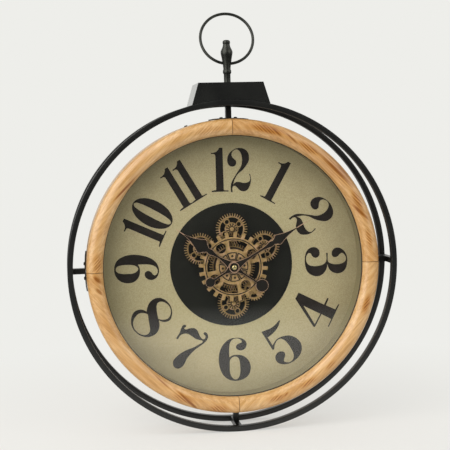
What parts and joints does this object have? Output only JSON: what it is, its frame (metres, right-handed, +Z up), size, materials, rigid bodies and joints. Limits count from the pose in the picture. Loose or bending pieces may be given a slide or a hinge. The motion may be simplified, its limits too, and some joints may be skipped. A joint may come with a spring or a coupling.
{
  "type": "wall clock",
  "caption": "Round wall clock styled as a fob watch: wooden case held inside two steel hoops, open gear train behind glass, hanging ring on top.",
  "frame": {"origin": "middle of the hanger plate's rear face, on the wall plane", "axes": "+X to the right seen from the front, +Y into the wall (the dial faces -Y), +Z up"},
  "size_m": [0.6, 0.0946, 0.7614],
  "materials": {
    "black_steel": "satin black powder coat",
    "gunmetal": "dark gunmetal lacquer, semi-gloss",
    "pine": "clear matt lacquer on light pine",
    "dial_board": "matt printed board",
    "centre_black": "matt black paint",
    "clear_glass": "polished float glass",
    "gasket_rubber": "matt",
    "fibreboard": "raw hardboard",
    "bronze_gear": "antique bronze coating",
    "hand_black": "black-brown with bare bronze edges",
    "bright_brass": "polished",
    "zinc_steel": "zinc plated",
    "black_plastic": "fine moulded texture",
    "cell_steel": "printed sleeve, plain"
  },
  "bodies": {
    "case": {"front_hoop": "black_steel", "rear_hoop": "black_steel", "crown_block": "black_steel", "spacer_bar_top": "black_steel", "spacer_bar_right": "black_steel", "spacer_bar_bottom": "black_steel", "spacer_bar_left": "black_steel", "rim_bracket_top": "black_steel", "rim_bracket_right": "black_steel", "rim_bracket_bottom": "black_steel", "rim_bracket_left": "black_steel", "finial": "gunmetal", "rim_quarter_upper_right": "pine", "rim_quarter_lower_right": "pine", "rim_quarter_lower_left": "pine", "rim_quarter_upper_left": "pine", "dial": "dial_board", "dial_liner": "dial_board", "centre_plate": "centre_black", "glass": "clear_glass", "glass_gasket": "gasket_rubber", "back_panel": "fibreboard", "bearing_sleeve": "bright_brass", "hanger_plate": "zinc_steel", "finial_nut": "zinc_steel", "wheel_clip": "zinc_steel", "gear_arbor_top": "zinc_steel", "gear_arbor_right": "zinc_steel", "gear_arbor_bottom": "zinc_steel", "gear_arbor_left": "zinc_steel", "bracket_screw_a_top": "zinc_steel", "bracket_screw_a_right": "zinc_steel", "bracket_screw_a_bottom": "zinc_steel", "bracket_screw_a_left": "zinc_steel", "bracket_screw_b_top": "zinc_steel", "bracket_screw_b_right": "zinc_steel", "bracket_screw_b_bottom": "zinc_steel", "bracket_screw_b_left": "zinc_steel", "movement_case": "black_plastic", "motor_case": "black_plastic", "battery_box": "black_plastic", "movement_cell": "cell_steel", "battery_cell_upper": "cell_steel", "battery_cell_lower": "cell_steel"},
    "main_wheel": {"main_cog_wheel": "bronze_gear", "centre_gear": "bronze_gear"},
    "gear_top": {"small_gear_top": "bronze_gear"},
    "gear_right": {"small_gear_right": "bronze_gear"},
    "gear_bottom": {"small_gear_bottom": "bronze_gear"},
    "gear_left": {"small_gear_left": "bronze_gear"},
    "drive": {"drive_pinion": "bronze_gear", "motor_shaft": "zinc_steel"},
    "minute": {"minute_hand": "hand_black", "minute_shaft": "zinc_steel", "hand_nut": "bright_brass"},
    "hour": {"hour_hand": "hand_black", "hour_tube": "zinc_steel"},
    "setting_knob": {"set_knob": "black_plastic"},
    "ring": {"hanging_ring": "gunmetal"},
    "cell_cover": {"battery_cover": "black_plastic"}
  },
  "joints": [
    {"name": "minute_hand_turn", "type": "hinge", "parent": "case", "child": "minute", "pos_m": [0, -0.05, -0.31765], "axis": [0, 1, 0], "continuous": true},
    {"name": "hour_hand_turn", "type": "hinge", "parent": "case", "child": "hour", "pos_m": [0, -0.05, -0.31765], "axis": [0, 1, 0], "continuous": true},
    {"name": "setting_knob_turn", "type": "hinge", "parent": "case", "child": "setting_knob", "pos_m": [0, -0.05, -0.30365], "axis": [0, 1, 0], "continuous": true},
    {"name": "main_wheel_turn", "type": "hinge", "parent": "case", "child": "main_wheel", "pos_m": [0, -0.05, -0.31765], "axis": [0, 1, 0], "continuous": true},
    {"name": "top_gear_turn", "type": "hinge", "parent": "case", "child": "gear_top", "pos_m": [0, -0.05, -0.2494], "axis": [0, 1, 0], "continuous": true},
    {"name": "right_gear_turn", "type": "hinge", "parent": "case", "child": "gear_right", "pos_m": [0.05911, -0.05, -0.28353], "axis": [0, 1, 0], "continuous": true},
    {"name": "bottom_gear_turn", "type": "hinge", "parent": "case", "child": "gear_bottom", "pos_m": [0, -0.05, -0.3859], "axis": [0, 1, 0], "continuous": true},
    {"name": "left_gear_turn", "type": "hinge", "parent": "case", "child": "gear_left", "pos_m": [-0.05911, -0.05, -0.28353], "axis": [0, 1, 0], "continuous": true},
    {"name": "drive_turn", "type": "hinge", "parent": "case", "child": "drive", "pos_m": [0.03936, -0.05, -0.36293], "axis": [0, 1, 0], "continuous": true},
    {"name": "ring_swing", "type": "hinge", "parent": "case", "child": "ring", "pos_m": [0, -0.045, 0.05115], "axis": [1, 0, 0], "range_deg": [-8, 138]},
    {"name": "cell_cover_slide", "type": "slide", "parent": "case", "child": "cell_cover", "axis": [1, 0, 0], "range_m": [0, 0.06]}
  ],
  "couplings": [
    {"joint": "hour_hand_turn", "follows": "minute_hand_turn", "ratio": 0.083333},
    {"joint": "setting_knob_turn", "follows": "minute_hand_turn", "ratio": -1},
    {"joint": "top_gear_turn", "follows": "main_wheel_turn", "ratio": -1.4595},
    {"joint": "right_gear_turn", "follows": "main_wheel_turn", "ratio": -1.4595},
    {"joint": "bottom_gear_turn", "follows": "main_wheel_turn", "ratio": -1.4595},
    {"joint": "left_gear_turn", "follows": "main_wheel_turn", "ratio": -1.4595},
    {"joint": "drive_turn", "follows": "main_wheel_turn", "ratio": -2.0769}
  ]
}
